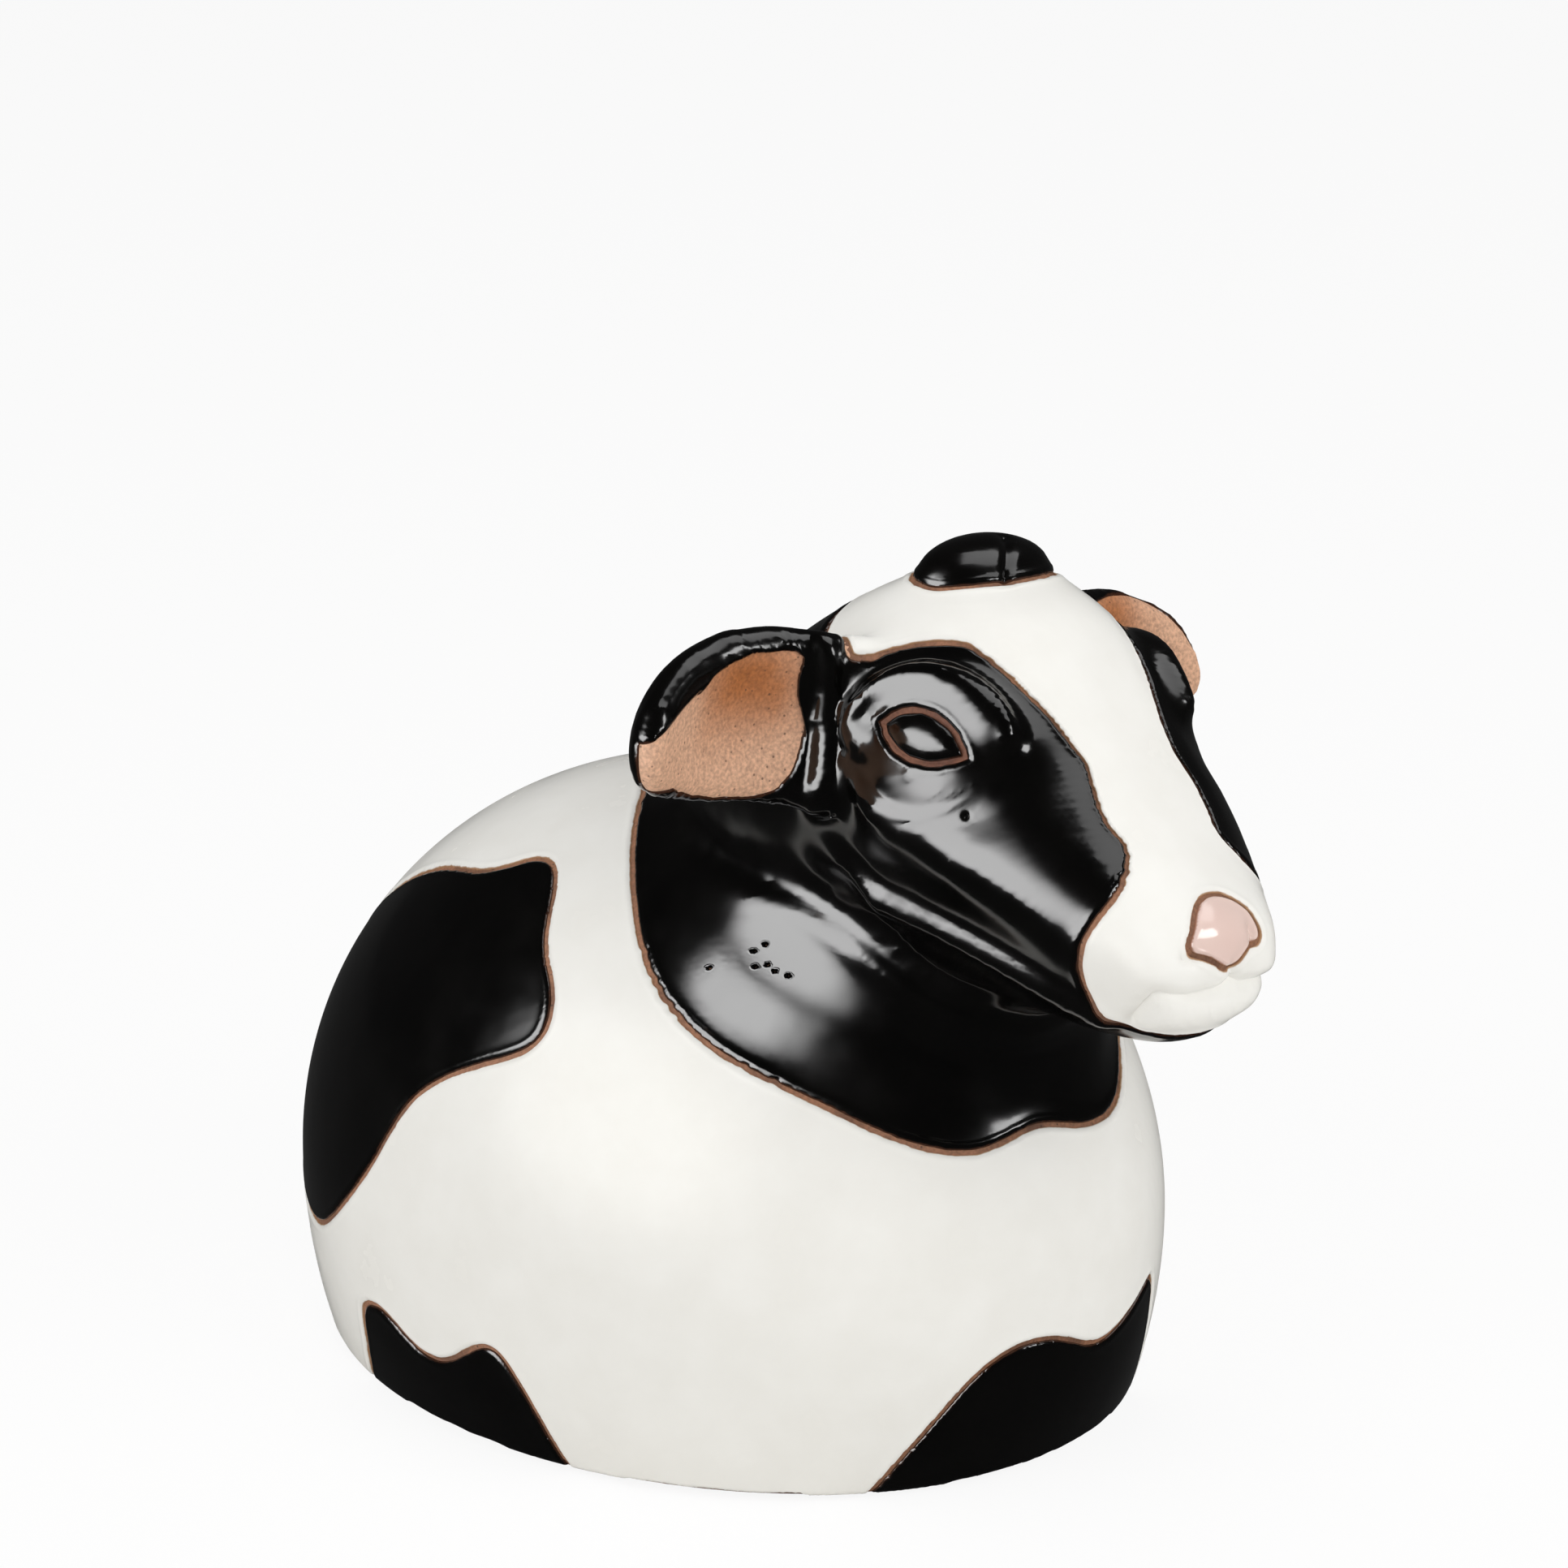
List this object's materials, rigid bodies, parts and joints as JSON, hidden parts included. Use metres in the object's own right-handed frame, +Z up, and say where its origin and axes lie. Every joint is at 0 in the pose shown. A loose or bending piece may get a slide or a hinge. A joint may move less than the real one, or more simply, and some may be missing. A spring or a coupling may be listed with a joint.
{
  "type": "cow figurine",
  "caption": "Sitting cow figurine in glazed red clay: a hollow ball body on a flat foot, a turned head with leaf ears, and black, white and pink glaze coats.",
  "frame": {"origin": "middle of the flat foot, on the floor", "axes": "+X the way the body faces, +Y the cow's left, +Z up"},
  "size_m": [0.2618, 0.1837, 0.2106],
  "materials": {
    "red_clay": "bare fired clay",
    "white_glaze": "gloss",
    "black_glaze": "gloss",
    "pink_glaze": "gloss"
  },
  "bodies": {
    "root": {"body_shell": "red_clay", "head_shell": "red_clay", "ear_right": "red_clay", "ear_left": "red_clay", "poll_tuft": "red_clay", "tail": "red_clay", "eyelid_right": "red_clay", "eyelid_left": "red_clay", "bib_black_glaze": "black_glaze", "hood_black_glaze": "black_glaze", "flank_right_black_glaze": "black_glaze", "haunch_right_black_glaze": "black_glaze", "chest_black_glaze": "black_glaze", "flank_left_black_glaze": "black_glaze", "haunch_left_black_glaze": "black_glaze", "poll_black_glaze": "black_glaze", "ear_right_black_glaze": "black_glaze", "ear_left_black_glaze": "black_glaze", "tail_black_glaze": "black_glaze", "eyeball_right": "black_glaze", "eyeball_left": "black_glaze", "body_white_glaze": "white_glaze", "face_white_glaze": "white_glaze", "nose_pink_glaze": "pink_glaze"}
  },
  "joints": []
}
